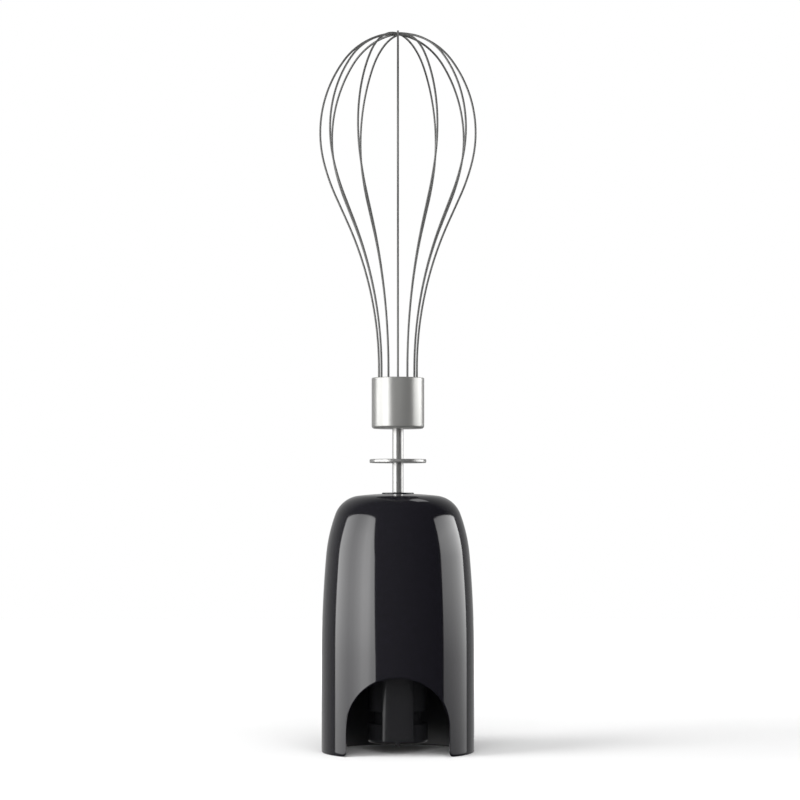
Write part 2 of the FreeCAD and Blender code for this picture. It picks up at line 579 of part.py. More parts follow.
def loop_path(shorter):
    """Half of a loop's centre line, from its foot to its crown, and the mirrored other half."""
    across, flare = size_of(WIRE_CIRCLE), size("flare_radius")
    lean = math.radians(size("flare_turn"))
    points = [Vector(across, 0, size_of(PLUG_TOP + " - wire_seat")),
              Vector(across, 0, size_of(FERRULE_TOP + " + flare_rise"))]
    centre = points[1] + Vector(flare, 0, 0)
    for turn in (lean / 2, lean):
        points.append(centre + Vector(-math.cos(turn), 0, math.sin(turn)) * flare)
    straight = size("leg_length") - shorter
    points.append(points[3] + Vector(math.sin(lean), 0, math.cos(lean)) * straight)
    begin = -lean
    for radius, sweep in (("belly_radius", "belly_turn"), ("upper_radius", "upper_turn")):
        end = begin + math.radians(size(sweep))
        centre = points[-1] - Vector(math.cos(begin), 0, math.sin(begin)) * size(radius)
        for turn in ((begin + end) / 2, end):
            points.append(centre + Vector(math.cos(turn), 0, math.sin(turn)) * size(radius))
        begin = end
    crown = points[-1].x / math.cos(begin)
    centre = points[-1] - Vector(math.cos(begin), 0, math.sin(begin)) * crown
    middle = (begin + math.pi / 2) / 2
    points.append(centre + Vector(math.cos(middle), 0, math.sin(middle)) * crown)
    points.append(centre + Vector(0, 0, crown))
    other = [Vector(-point.x, 0, point.z) for point in points]
    half = [Part.LineSegment(points[0], points[1]), Part.Arc(*points[1:4]),
            Part.LineSegment(points[3], points[4]), Part.Arc(*points[4:7]),
            Part.Arc(*points[6:9]), Part.Arc(*points[8:11])]
    back = [Part.Arc(other[10], other[9], other[8]), Part.Arc(other[8], other[7], other[6]),
            Part.Arc(other[6], other[5], other[4]), Part.LineSegment(other[4], other[3]),
            Part.Arc(other[3], other[2], other[1]), Part.LineSegment(other[1], other[0])]
    return Part.Wire([edge.toShape() for edge in half + back])


# the loops nest under each other at the crown, the front-to-back one outermost
NESTING = [3, 0, 2, 5, 1, 4]
for number in range(LOOPS):
    path = loop_path(NESTING.index(number) * size("crown_step"))
    foot = path.OrderedVertexes[0].Point
    section = Part.Circle(foot, Vector(0, 0, 1), size("wire_radius"))
    loop = path.makePipeShell([Part.Wire([section.toShape()])], True, False)
    expected = math.pi * size("wire_radius") ** 2 * path.Length
    if abs(loop.Volume - expected) > 0.01 * expected:
        raise ValueError("a wire loop's volume is wrong")
    loop.rotate(Vector(0, 0, 0), Vector(0, 0, 1), 180 / LOOPS * number)
    nodes.append(computed(f"wire_loop_{number + 1}", loop))


# ---------------------------------------------------------------- check and export
doc.recompute()
for item in doc.Objects:
    if "Invalid" in item.State or "Error" in item.State:
        raise ValueError(f"{item.Label} failed: {item.State}")
os.makedirs("parts", exist_ok=True)
for node in nodes:
    if node.Shape.isNull() or not node.Shape.isValid() or len(node.Shape.Solids) != 1:
        raise ValueError(f"{node.Label} is not one valid solid")
    node.Shape.exportStep(f"parts/{node.Label}.step")
box = Part.makeCompound([node.Shape for node in nodes]).BoundBox
print(len(nodes), "sub-parts,", "box", [round(value, 2) for value in (
    box.XMin, box.YMin, box.ZMin, box.XMax, box.YMax, box.ZMax)])
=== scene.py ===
import math

import bpy
import numpy as np
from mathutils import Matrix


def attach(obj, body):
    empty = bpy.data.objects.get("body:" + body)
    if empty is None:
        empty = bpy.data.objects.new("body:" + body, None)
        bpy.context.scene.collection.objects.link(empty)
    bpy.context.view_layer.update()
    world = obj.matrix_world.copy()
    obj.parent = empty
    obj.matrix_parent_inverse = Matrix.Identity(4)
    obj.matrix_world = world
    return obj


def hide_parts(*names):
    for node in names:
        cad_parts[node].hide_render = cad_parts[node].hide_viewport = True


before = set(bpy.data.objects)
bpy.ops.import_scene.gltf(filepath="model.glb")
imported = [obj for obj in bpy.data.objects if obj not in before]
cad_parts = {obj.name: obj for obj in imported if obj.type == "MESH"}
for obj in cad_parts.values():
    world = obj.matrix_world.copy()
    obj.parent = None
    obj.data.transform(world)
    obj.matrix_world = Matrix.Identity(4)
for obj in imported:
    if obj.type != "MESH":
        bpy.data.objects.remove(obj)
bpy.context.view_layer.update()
MM = 0.001

# ------------------------------------------------------------------ camera
# A long lens a little over a metre in front of the whisk, a third of the way up it, tipped up
# slightly so that both the foot and the crown of the wires are in view.
camera_data = bpy.data.cameras.new("studio_camera")
camera_data.lens = 108
camera_data.sensor_width = 36
TIPPED_UP = 2.55
camera = bpy.data.objects.new("studio_camera", camera_data)
camera.location = (0.0009, -1.0441, 0.1057)
camera.rotation_euler = (math.radians(90 + TIPPED_UP), 0, 0)
bpy.context.scene.collection.objects.link(camera)
bpy.context.scene.camera = camera
bpy.context.scene.view_settings.view_transform = "Standard"


# ------------------------------------------------------------------ floor, backdrop and lights
# A white tabletop that glows with painted light away from the whisk's foot, a white backdrop that
# the polished parts see behind themselves, a darker room in front, two tall softboxes to the left
# and right, a small light for the crown from behind, and three lights for the tabletop alone,
# which the polished parts do not show.
class Socket:
    """One output of a shader node; sums written on it add Math nodes to its tree."""

    def __init__(self, tree, output=None):
        self.tree = tree
        self.output = output

    def node(self, kind, settings=None, inputs=None, output=0):
        """Any node: its settings first, then the values or links of its sockets."""
        made = self.tree.nodes.new(kind)
        for name, value in (settings or {}).items():
            if name == "stops":
                ramp = made.color_ramp
                for place, (position, colour) in enumerate(value):
                    stop = ramp.elements[place] if place < 2 else ramp.elements.new(position)
                    stop.position = position
                    stop.color = colour
            else:
                setattr(made, name, value)
        for name, value in (inputs or {}).items():
            if isinstance(value, Socket):
                self.tree.links.new(value.output, made.inputs[name])
            else:
                made.inputs[name].default_value = value
        return Socket(self.tree, made.outputs[output]) if len(made.outputs) else None

    def ramp(self, value, source, target=(0.0, 1.0), shape="LINEAR"):
        """A value carried from one range to another, and held at the ends of the new one."""
        return self.node("ShaderNodeMapRange", {"interpolation_type": shape}, {
            "Value": value, "From Min": source[0], "From Max": source[1],
            "To Min": target[0], "To Max": target[1]})

    def place(self):
        """Where a point is on the object itself."""
        return self.node("ShaderNodeTexCoord", output="Object")

    def noise(self, scale, detail, vector=None, **more):
        return self.node("ShaderNodeTexNoise", inputs={
            "Vector": vector or self.place(), "Scale": scale, "Detail": detail, **more})

    def bump(self, strength, distance, height):
        return self.node("ShaderNodeBump", inputs={
            "Strength": strength, "Distance": distance, "Height": height})

    def blend(self, share, first, second):
        """A mix of two colours."""
        return self.node("ShaderNodeMix", {"data_type": "RGBA"}, {
            "Factor": share, 6: (*first, 1), 7: (*second, 1)}, 2)

    def sum(self, operation, first, second):
        return self.node("ShaderNodeMath", {"operation": operation}, {0: first, 1: second})

    def __add__(self, other):
        return self.sum("ADD", self, other)

    def __radd__(self, other):
        return self.sum("ADD", other, self)

    def __sub__(self, other):
        return self.sum("SUBTRACT", self, other)

    def __rsub__(self, other):
        return self.sum("SUBTRACT", other, self)

    def __mul__(self, other):
        return self.sum("MULTIPLY", self, other)

    def __rmul__(self, other):
        return self.sum("MULTIPLY", other, self)


world = bpy.data.worlds.new("studio")
bpy.context.scene.world = world
world.use_nodes = True
world.node_tree.nodes.clear()
sky = Socket(world.node_tree)
direction = sky.node("ShaderNodeTexCoord", output="Generated")
axes = [sky.node("ShaderNodeSeparateXYZ", inputs={0: direction}, output=axis) for axis in "XYZ"]
backdrop = sky.ramp(axes[1], (0.25, 1.0), (0.0, 0.36))
room = 0.08 - 0.05 * axes[0]
overhead = sky.ramp(axes[2], (-0.6, -0.1), (0.25, 1.0), "SMOOTHSTEP")
seen = sky.node("ShaderNodeLightPath", output="Is Camera Ray")
strength = seen * 1.0 + (1.0 - seen) * (backdrop + room) * overhead
light = sky.node("ShaderNodeBackground", inputs={"Color": (1, 1, 1, 1), "Strength": strength})
sky.node("ShaderNodeOutputWorld", inputs={"Surface": light})


def softbox(name, facing, distance, first, last, low, high, radiance, tip=90, stops=None,
            flag=(0.0, 0.0)):
    """A rectangular light square to one azimuth, from a first to a last azimuth and from one
    height to another; stops are its brightness along it and up it. A flag covers it where its
    two weights times the shares along it and up it come to more than one."""
    near, far = (distance * math.tan(math.radians(edge - facing)) for edge in (first, last))
    width = abs(far - near)
    data = bpy.data.lights.new(name, "AREA")
    data.shape = "RECTANGLE"
    data.size, data.size_y = width, high - low
    data.energy = math.pi * radiance * width * (high - low)
    turn = math.radians(facing)
    aside = (near + far) / 2
    lamp = bpy.data.objects.new(name, data)
    lamp.location = (distance * math.sin(turn) + aside * math.cos(turn),
                     aside * math.sin(turn) - distance * math.cos(turn), (low + high) / 2)
    lamp.rotation_euler = (math.radians(tip), 0, turn)
    lamp.visible_camera = False
    bpy.context.scene.collection.objects.link(lamp)
    if stops:
        data.use_nodes = True
        cloth = Socket(data.node_tree)
        spot = cloth.node("ShaderNodeNewGeometry", output="Parametric")
        along, up = (cloth.node("ShaderNodeSeparateXYZ", inputs={0: spot}, output=axis)
                     for axis in "XY")
        shades = [cloth.node("ShaderNodeValToRGB", {"stops": [
            (at, (value / 2,) * 3 + (1,)) for at, value in line]}, {0: place})
            for place, line in zip((along, up), stops)]
        open_cloth = cloth.node("ShaderNodeMath", {"operation": "LESS_THAN"},
                                {0: along * flag[0] + up * flag[1], 1: 1.0})
        glow = data.node_tree.nodes["Emission"].inputs["Strength"]
        data.node_tree.links.new((shades[0] * shades[1] * 4.0 * open_cloth).output, glow)
    return lamp


softbox("softbox_left", facing=-54, distance=0.7, first=-107.8, last=-30.7, low=-0.14, high=0.57,
        radiance=2.5, flag=(1.0, 0.143), stops=(
            ((0.0, 1.2), (0.228, 1.05), (0.384, 0.87), (0.502, 0.75), (0.594, 0.82),
             (0.685, 1.02), (0.758, 1.25), (0.841, 1.25), (0.914, 0.95), (1.0, 0.9)),
            ((0.0, 0.45), (0.08, 0.52), (0.16, 0.7), (0.26, 0.9), (0.35, 1.0), (0.7, 0.95),
             (1.0, 0.8))))
softbox("softbox_right", facing=88, distance=0.8, first=71.5, last=125, low=-0.14, high=0.561,
        radiance=1.55, flag=(0.22, 1.0), stops=(
            ((0.0, 0.8), (0.3, 0.95), (0.65, 1.3), (1.0, 1.8)),
            ((0.0, 0.25), (0.09, 0.31), (0.163, 0.5), (0.263, 0.79), (0.344, 1.04),
             (0.535, 1.36), (0.69, 1.5), (0.906, 1.2), (1.0, 1.1))))
softbox("hair_light", facing=150, distance=0.45, first=138, last=163, low=0.787, high=1.007,
        radiance=1.1, tip=30)
for tabletop_light in (
        softbox("table_key", facing=-62, distance=0.8, first=-78, last=-46, low=0.75, high=1.25,
                radiance=8.5, tip=42),
        softbox("table_fill", facing=8, distance=0.7, first=-32, last=48, low=0.9, high=1.7,
                radiance=3.6, tip=35),
        softbox("table_front", facing=4, distance=0.8, first=-20, last=28, low=0.05, high=0.6,
                radiance=3.6)):
    tabletop_light.visible_glossy = False

TABLE_HALF, TABLE_FRONT, TABLE_BACK = 0.5, -0.4, 1.2
floor_mesh = bpy.data.meshes.new("tabletop")
floor_mesh.from_pydata([(-TABLE_HALF, TABLE_FRONT, 0), (TABLE_HALF, TABLE_FRONT, 0),
                        (TABLE_HALF, TABLE_BACK, 0), (-TABLE_HALF, TABLE_BACK, 0)], [],
                       [(0, 1, 2, 3)])
tabletop = bpy.data.objects.new("tabletop", floor_mesh)
bpy.context.scene.collection.objects.link(tabletop)
tabletop.visible_glossy = False


def material(name, colour, metallic=0.0, roughness=0.4, **constants):
    """A material, the start of its node tree, and its shader, with constants set on the shader."""
    made = bpy.data.materials.new(name)
    made.use_nodes = True
    shader = made.node_tree.nodes["Principled BSDF"]
    shader.inputs["Base Color"].default_value = (*colour, 1)
    shader.inputs["Metallic"].default_value = metallic
    shader.inputs["Roughness"].default_value = roughness
    for socket, value in constants.items():
        shader.inputs[socket.replace("_", " ")].default_value = value
    return made, Socket(made.node_tree), shader


def feed(start, shader, **sources):
    """Links what varies over the surface to the shader's sockets."""
    for socket, source in sources.items():
        start.tree.links.new(source.output, shader.inputs[socket.replace("_", " ")])


# Painted light: the tabletop's emission is nothing just in front of the whisk's foot and rises
# smoothly to 0.85 by 0.7 m behind it. The far tabletop glows white, and the shadow at the foot
# stays.
card, start, shader = material("white_card_painted_glow", (0.9, 0.9, 0.9), roughness=0.9)
back = start.node("ShaderNodeSeparateXYZ", inputs={0: start.place()}, output="Y")
glow = start.ramp(back, (-0.02, 0.7), (0.0, 0.85), "SMOOTHSTEP")
feed(start, shader, Emission_Color=start.node("ShaderNodeCombineColor", inputs={
    "Red": glow, "Green": glow, "Blue": glow}))
shader.inputs["Emission Strength"].default_value = 1.0
floor_mesh.materials.append(card)


# ------------------------------------------------------------------ outer housing
# One injection-moulded shell in high-gloss black: a straight skirt, arcs that tighten over the
# shoulder, and a low domed crown with a hole for the drive. The arched window is cut in its front.
SKIN, WALL = 33.0, 2.2
ARCH_HALF, ARCH_TOP, ARCH_FOOT = 21.75, 33.8, 2.0
SKIRT_TOP, FLANK_TOP, SHOULDER_TOP = 42.0, 84.6, 102.6
FLANK, SHOULDER, CORNER, CROWN = 500.0, 69.4, 12.3, 150.0
SEAL_RADIUS = 6.95
COLUMNS, SOFT_EDGE = 420, 0.55
BLACK = (0.0045, 0.0042, 0.0065)


def shell_profile(inset):
    """Radius and height above the straight skirt: four arcs of circles that share tangents."""
    radii = np.array([FLANK, SHOULDER, CORNER, CROWN])
    centre = np.array([SKIN - radii[0], SKIRT_TOP])
    first = math.asin((FLANK_TOP - SKIRT_TOP) / radii[0])
    centres, ends = [centre], [first]
    centre = centre + (radii[0] - radii[1]) * np.array([math.cos(first), math.sin(first)])
    second = math.asin((SHOULDER_TOP - centre[1]) / radii[1])
    centres.append(centre)
    ends.append(second)
    centre = centre + (radii[1] - radii[2]) * np.array([math.cos(second), math.sin(second)])
    drop = math.sqrt((radii[3] - radii[2]) ** 2 - centre[0] ** 2)
    centres += [centre, np.array([0.0, centre[1] - drop])]
    ends.append(math.atan2(drop, centre[0]))
    ends.append(math.acos(SEAL_RADIUS / (radii[3] - inset)))
    rows, begin = [], 0.0
    for middle, radius, end, count in zip(centres, radii, ends, (24, 20, 24, 12)):
        turn = np.linspace(begin, end, count)[1:]
        rows.append(middle + (radius - inset) * np.stack([np.cos(turn), np.sin(turn)], 1))
        begin = end
    return np.concatenate(rows)


def window_outline(inset, offset):
    """The shell's lower edge on one of its skins, as an angle and a height for each column.

    The arch is the same shape seen from the front on every skin, so its angle is the arcsine of
    its distance across over the skin's radius. The offset moves the line into the wall, along
    its own normal."""
    head = np.linspace(0, np.pi, 97)
    spring = ARCH_TOP - ARCH_HALF
    foot = np.linspace(0, np.pi / 2, 9)
    leg_up = np.linspace(ARCH_FOOT, spring, 14)[1:-1]
    left_x = np.concatenate([ARCH_FOOT * np.sin(foot) - ARCH_HALF - ARCH_FOOT,
                             np.full(leg_up.size, -ARCH_HALF)])
    left_z = np.concatenate([ARCH_FOOT - ARCH_FOOT * np.cos(foot), leg_up])
    x = np.concatenate([left_x, ARCH_HALF * -np.cos(head), -left_x[::-1]])
    z = np.concatenate([left_z, spring + ARCH_HALF * np.sin(head), left_z[::-1]])
    radius = SKIN - inset
    front = np.arcsin(x / radius)
    rest = np.linspace(front[-1], front[0] + 2 * np.pi, COLUMNS - front.size + 2)[1:-1]
    angle = np.concatenate([front, rest])
    height = np.concatenate([z, np.zeros(rest.size)])
    wrap = np.concatenate([[angle[-1] - 2 * np.pi], angle, [angle[0] + 2 * np.pi]])
    along = (wrap[2:] - wrap[:-2]) * radius
    rise = np.roll(height, -1) - np.roll(height, 1)
    length = np.hypot(along, rise)
    return angle - offset * rise / length / radius, height + offset * along / length


def on_shell(radius, turn, height):
    """Points at a turn round the axis from the front."""
    return np.stack([radius * np.sin(turn), -radius * np.cos(turn), height], -1)


def shell_grid(inset):
    """One side of the shell as rows of points: up from the window's outline to the crown's hole.

    Between the outline and the straight skirt's top, each column eases from its place on the
    outline to an even spacing round the shell, always on the surface of revolution."""
    angle, height = window_outline(inset, SOFT_EDGE)
    even = window_outline(0.0, 0.0)[0][0] + 2 * np.pi * np.arange(COLUMNS) / COLUMNS
    ease = np.linspace(0, 1, 34)[:, None]
    turn_low = angle + (even - angle) * (3 * ease ** 2 - 2 * ease ** 3)
    low = on_shell(SKIN - inset, turn_low, height + (SKIRT_TOP - height) * ease)
    profile = shell_profile(inset)
    upper = on_shell(*np.broadcast_arrays(profile[:, :1], even, profile[:, 1:]))
    return np.concatenate([low, upper])


def edge_row(depth, offset):
    """A row of the rim, at a depth below the outer skin and an offset into the wall."""
    angle, height = window_outline(depth, offset)
    return on_shell(SKIN - depth, angle, height)[None]


def quads(rows, columns, closed=False):
    """Faces of a grid whose rows close on themselves, and whose last row may join its first."""
    row, column = np.meshgrid(np.arange(rows - 1 + closed), np.arange(columns), indexing="ij")
    after = (column + 1) % columns
    faces = np.stack([row * columns + column, row * columns + after,
                      (row + 1) * columns + after, (row + 1) * columns + column], -1)
    return faces.reshape(-1, 4) % (rows * columns)


def add_piece(name, points, faces, body, nodes, slot, finish, smooth_angle=40):
    """A mesh object from arrays in millimetres, riding on a body in place of CAD nodes."""
    mesh = bpy.data.meshes.new(name)
    mesh.from_pydata((points.reshape(-1, 3) * MM).tolist(), [],
                     [[int(corner) for corner in face] for face in faces])
    mesh.update()
    mesh.polygons.foreach_set("use_smooth", np.ones(len(mesh.polygons), bool))
    mesh.set_sharp_from_angle(angle=math.radians(smooth_angle))
    mesh.materials.append(finish)
    piece = bpy.data.objects.new(name, mesh)
    bpy.context.scene.collection.objects.link(piece)
    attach(piece, body)
    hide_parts(*nodes)
    return piece


# the rim's two edges are quarter rounds: depth and offset follow one minus cosine and sine
swing = np.linspace(0, np.pi / 2, 6)[1:]
depths, offsets = SOFT_EDGE * (1 - np.cos(swing)), SOFT_EDGE * (1 - np.sin(swing))
outer_rim = [edge_row(depth, offset) for depth, offset in zip(depths[::-1], offsets[::-1])]
inner_rim = [edge_row(WALL - depth, offset) for depth, offset in zip(depths, offsets)]
skin = np.concatenate([shell_grid(WALL)[::-1], *inner_rim, *outer_rim, shell_grid(0.0)])
gloss_black, start, shader = material("gloss_black_moulding", BLACK, roughness=0.06, IOR=1.8)
place = start.place()
haze = start.noise(60.0, 4.0, place)
flow = start.noise(22.0, 1.0, place)
# the inside keeps the mould's sparked grain, and only the outside is polished
flat = start.node("ShaderNodeVectorMath", {"operation": "MULTIPLY"}, {0: place, 1: (1, 1, 0)})
reach = start.node("ShaderNodeVectorMath", {"operation": "LENGTH"}, {0: flat}, "Value")
inside = start.ramp(reach, (0.0312, 0.0324), (1.0, 0.0))
lift = start.node("ShaderNodeSeparateXYZ", inputs={0: place}, output="Z")
below = start.ramp(lift, (0.045, 0.05), (1.0, 0.0))
grained = inside * below
feed(start, shader, Base_Color=start.blend(grained, BLACK, (0.014, 0.014, 0.016)),
     Roughness=0.045 + haze * 0.05 + grained * 0.45, Normal=start.bump(0.12, 0.0004, flow))
add_piece("housing_shell", skin, quads(len(skin), COLUMNS, closed=True), "gearbox_housing",
          ["outer_housing"], "housing_plastic", gloss_black)

# ------------------------------------------------------------------ coupling collar
# A black moulded tube that the motor unit plugs on to, hanging from the flange that closes the
# gear case. A snap groove runs round it, and bevelled keys stand on its front and back.
COLLAR, BORE, COLLAR_FOOT, BORE_ROOF = 13.0, 8.6, 4.2, 39.0
GROOVE_FOOT, GROOVE_ROOF, GROOVE_FLOOR = 12.4, 17.9, 10.4
FLANGE_FLOOR, FLANGE_TOP, FLANGE, FLANGE_BORE = 43.5, 46.0, 29.6, 4.6
KEY_HALF, KEY_FACE, KEY_ROOT = 6.75, 14.6, 9.2
KEY_BEVEL = ((1.3, 0.7), (2.3, 1.2))  # width and depth at the foot of a key, then at its top
NUB_HALF, NUB_FACE, NUB_ROOT = 1.05, 14.1, 11.8


def rounded(corners, steps=5):
    """A closed outline of (across, up, radius) corners, each turned into an arc of its radius.

    The arc starts and ends where it is tangent to the two sides, at radius / tan(half the
    corner) from the corner itself."""
    points = []
    for number, (across, up, radius) in enumerate(corners):
        here = np.array([across, up], float)
        if radius <= 0:
            points.append(here[None])
            continue
        before = np.array(corners[number - 1][:2]) - here
        following = np.array(corners[(number + 1) % len(corners)][:2]) - here
        before = before / np.linalg.norm(before)
        following = following / np.linalg.norm(following)
        half = math.acos(np.clip(before @ following, -1, 1)) / 2
        middle = before + following
        centre = here + middle / np.linalg.norm(middle) * radius / math.sin(half)
        first = here + before * radius / math.tan(half) - centre
        last = here + following * radius / math.tan(half) - centre
        mix = np.linspace(0, 1, steps)[:, None]
        swing = 2 * (math.pi / 2 - half)
        arc = (np.sin((1 - mix) * swing) * first + np.sin(mix * swing) * last) / math.sin(swing)
        points.append(centre + arc)
    return np.concatenate(points)


def runs_left(outline):
    """Whether a closed outline runs anticlockwise."""
    return np.sum(outline[:, 0] * np.roll(outline[:, 1], -1)
                  - np.roll(outline[:, 0], -1) * outline[:, 1]) > 0


def turned(outline, columns):
    """Points and faces of a closed (radius, height) outline carried once round the axis."""
    turn = 2 * np.pi * np.arange(columns) / columns
    r, z = outline[:, :1], np.repeat(outline[:, 1:], columns, 1)
    points = np.stack([r * np.cos(turn), r * np.sin(turn), z], -1).reshape(-1, 3)
    faces = quads(len(outline), columns, closed=True)
    return points, faces if runs_left(outline) else faces[:, ::-1]


def bar(outline, low, high, upper=None):
    """An upright bar of a convex plan outline, from one height to another, drafted if its upper
    outline differs."""
    count = len(outline)
    ends = ((outline, low), (outline if upper is None else upper, high))
    points = np.concatenate([np.column_stack([plan, np.full(count, z)]) for plan, z in ends])
    here = np.arange(count)
    after = (here + 1) % count
    sides = np.stack([here, after, after + count, here + count], -1)
    faces = [*sides.tolist(), here[::-1].tolist(), (here + count).tolist()]
    return points, faces if runs_left(outline) else [face[::-1] for face in faces]


def together(*parts):
    """Several sets of points and faces as one."""
    points, faces, offset = [], [], 0
    for some_points, some_faces in parts:
        points.append(some_points)
        faces += [[offset + corner for corner in face] for face in some_faces]
        offset += len(some_points)
    return np.concatenate(points), faces


collar_outline = rounded([
    (BORE, COLLAR_FOOT, 0.5), (COLLAR, COLLAR_FOOT, 1.2), (COLLAR, GROOVE_FOOT, 0.3),
    (GROOVE_FLOOR, GROOVE_FOOT, 0.4), (GROOVE_FLOOR, GROOVE_ROOF, 0.4),
    (COLLAR, GROOVE_ROOF, 0.3), (COLLAR, FLANGE_FLOOR, 0.8), (FLANGE, FLANGE_FLOOR, 0.4),
    (FLANGE, FLANGE_TOP, 0.3), (FLANGE_BORE, FLANGE_TOP, 0.0), (FLANGE_BORE, BORE_ROOF, 0.0),
    (BORE, BORE_ROOF, 0.4)])
key_parts = []
for side in (-1, 1):
    plans = [np.array([(-KEY_HALF, KEY_ROOT), (KEY_HALF, KEY_ROOT), (KEY_HALF, KEY_FACE - deep),
                       (KEY_HALF - wide, KEY_FACE), (wide - KEY_HALF, KEY_FACE),
                       (-KEY_HALF, KEY_FACE - deep)]) * (1, side) for wide, deep in KEY_BEVEL]
    key_parts.append(bar(plans[0], COLLAR_FOOT + 1.2, FLANGE_FLOOR + 0.5, plans[1]))
nub_plan = np.array([(-NUB_HALF, -NUB_FACE), (NUB_HALF, -NUB_FACE), (NUB_HALF, -NUB_ROOT),
                     (-NUB_HALF, -NUB_ROOT)])
key_parts.append(bar(nub_plan, COLLAR_FOOT - 0.5, COLLAR_FOOT + 1.7))
collar_points, collar_faces = together(turned(collar_outline, 144), *key_parts)
collar_black, start, shader = material("collar_moulding", (0.013, 0.013, 0.0145), roughness=0.14)
grain = start.noise(400.0, 3.0)
feed(start, shader, Roughness=0.17 + grain * 0.12, Normal=start.bump(0.15, 0.00005, grain))
collar = add_piece("coupling_collar_moulding", collar_points, collar_faces, "gearbox_housing",
                   ["coupling_collar"], "collar_plastic", collar_black, 30)
edge = collar.modifiers.new("softened_edges", "BEVEL")
edge.width = 0.25 * MM
edge.segments = 2
edge.limit_method = "ANGLE"
edge.angle_limit = math.radians(35)

# ------------------------------------------------------------------ crown seal
# A lip seal pressed into the crown's hole: a plain black ring that stands half a millimetre
# proud round the spindle, with a flange that keeps it in from below.
SEAL_BORE, SEAL_FLANGE = 5.7, 8.35
SEAL_FOOT, SEAL_SHELF, SEAL_TOP = 106.0, 108.2, 111.9
seal_outline = rounded([
    (SEAL_BORE, SEAL_FOOT, 0.2), (SEAL_FLANGE, SEAL_FOOT, 0.3), (SEAL_FLANGE, SEAL_SHELF, 0.3),
    (SEAL_RADIUS, SEAL_SHELF, 0.0), (SEAL_RADIUS, SEAL_TOP, 0.3), (SEAL_BORE, SEAL_TOP, 0.3)])
seal_black, start, shader = material("seal_rubber", (0.014, 0.014, 0.016), roughness=0.2)
feed(start, shader, Roughness=0.16 + start.noise(500.0, 2.0) * 0.12)
add_piece("crown_seal_ring", *turned(seal_outline, 96), "gearbox_housing", ["crown_seal"],
          "seal_plastic", seal_black)

# ------------------------------------------------------------------ whisk shaft and splash disc
# A ground stainless bar with two flats at its foot, and a stamped disc pressed on to it that keeps
# food off the crown. The bar keeps lines along it from grinding, and the disc an even grain.
SHAFT, SHAFT_FOOT, ROUND_FOOT, SHAFT_TOP = 2.4, 65.2, 73.2, 156.5
FLAT, FLAT_CORNER = 1.7, 1.694
FLAT_ARC = ((0.9, 2.22), (0.0, 2.395), (-0.9, 2.22))
DISC, DISC_FLOOR, DISC_TOP = 12.35, 124.8, 126.4


def steel(name, colour, low, high, scale, bump, metallic=1.0):
    """Stainless steel whose fine lines follow a stretched noise: a scale for each direction."""
    made, start, shader = material(name, colour, metallic=metallic, roughness=low)
    place = start.place()
    drawn = start.node("ShaderNodeMapping", inputs={"Vector": place, "Scale": scale})
    lines = start.noise(1.0, 3.0, drawn, Roughness=0.6)
    broad = start.noise(45.0, 2.0, place)
    feed(start, shader, Roughness=low + (high - low) * lines + (broad - 0.5) * 0.04,
         Normal=start.bump(bump, 0.00002, lines))
    return made


shaft_outline = rounded([(0.0, ROUND_FOOT, 0.0), (SHAFT, ROUND_FOOT, 0.2),
                         (SHAFT, SHAFT_TOP, 0.2), (0.0, SHAFT_TOP, 0.0)])
shaft_steel = steel("ground_bar", (0.52, 0.52, 0.51), 0.24, 0.34, scale=(900, 900, 25),
                    bump=0.04, metallic=0.85)
flats_half = np.array([(FLAT, -FLAT_CORNER), (FLAT, FLAT_CORNER), *FLAT_ARC])
flats_plan = np.concatenate([flats_half, -flats_half])
shaft_points, shaft_faces = together(turned(shaft_outline, 64),
                                     bar(flats_plan, SHAFT_FOOT, ROUND_FOOT + 0.2))
add_piece("whisk_shaft_bar", shaft_points, shaft_faces, "whisk", ["whisk_shaft"], "shaft_steel",
          shaft_steel, 30)
disc_outline = rounded([(SHAFT, DISC_FLOOR, 0.0), (DISC, DISC_FLOOR, 0.4),
                        (DISC, DISC_TOP, 0.4), (SHAFT, DISC_TOP, 0.0)])
disc_steel = steel("stamped_disc", (0.54, 0.54, 0.53), 0.24, 0.34, scale=(500, 500, 500),
                   bump=0.08, metallic=0.85)
add_piece("splash_disc_plate", *turned(disc_outline, 128), "whisk", ["splash_disc"],
          "disc_steel", disc_steel)

# ------------------------------------------------------------------ ferrule and its plug
# A drawn stainless cup, satin-brushed round its side, with a softened lower corner and a small
# rolled lip. It is filled with a grey plug that grips the shaft and the twelve wire ends.
FERRULE, FERRULE_FLOOR, FERRULE_TOP = 11.45, 139.7, 161.8
CUP_WALL, CUP_FLOOR = 0.8, 1.0
ferrule_outline = rounded([
    (SHAFT, FERRULE_FLOOR, 0.0), (FERRULE, FERRULE_FLOOR, 1.2), (FERRULE, FERRULE_TOP, 0.35),
    (FERRULE - CUP_WALL, FERRULE_TOP, 0.3),
    (FERRULE - CUP_WALL, FERRULE_FLOOR + CUP_FLOOR, 0.3),
    (SHAFT, FERRULE_FLOOR + CUP_FLOOR, 0.0)], 7)
satin = steel("satin_ferrule", (0.5, 0.5, 0.485), 0.28, 0.38, scale=(60, 60, 5200), bump=0.06,
              metallic=0.82)
add_piece("ferrule_cup", *turned(ferrule_outline, 160), "whisk", ["ferrule"], "ferrule_steel",
          satin)
plug_grey, start, shader = material("potting_grey", (0.16, 0.16, 0.16), roughness=0.6)
mottle = start.noise(700.0, 4.0)
feed(start, shader, Roughness=0.45 + mottle * 0.3, Normal=start.bump(0.3, 0.0001, mottle))


def dress(finish, *nodes):
    """Gives CAD nodes whose shape is right their finish."""
    for node in nodes:
        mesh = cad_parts[node].data
        mesh.materials.clear()
        mesh.materials.append(finish)


dress(plug_grey, "ferrule_plug")

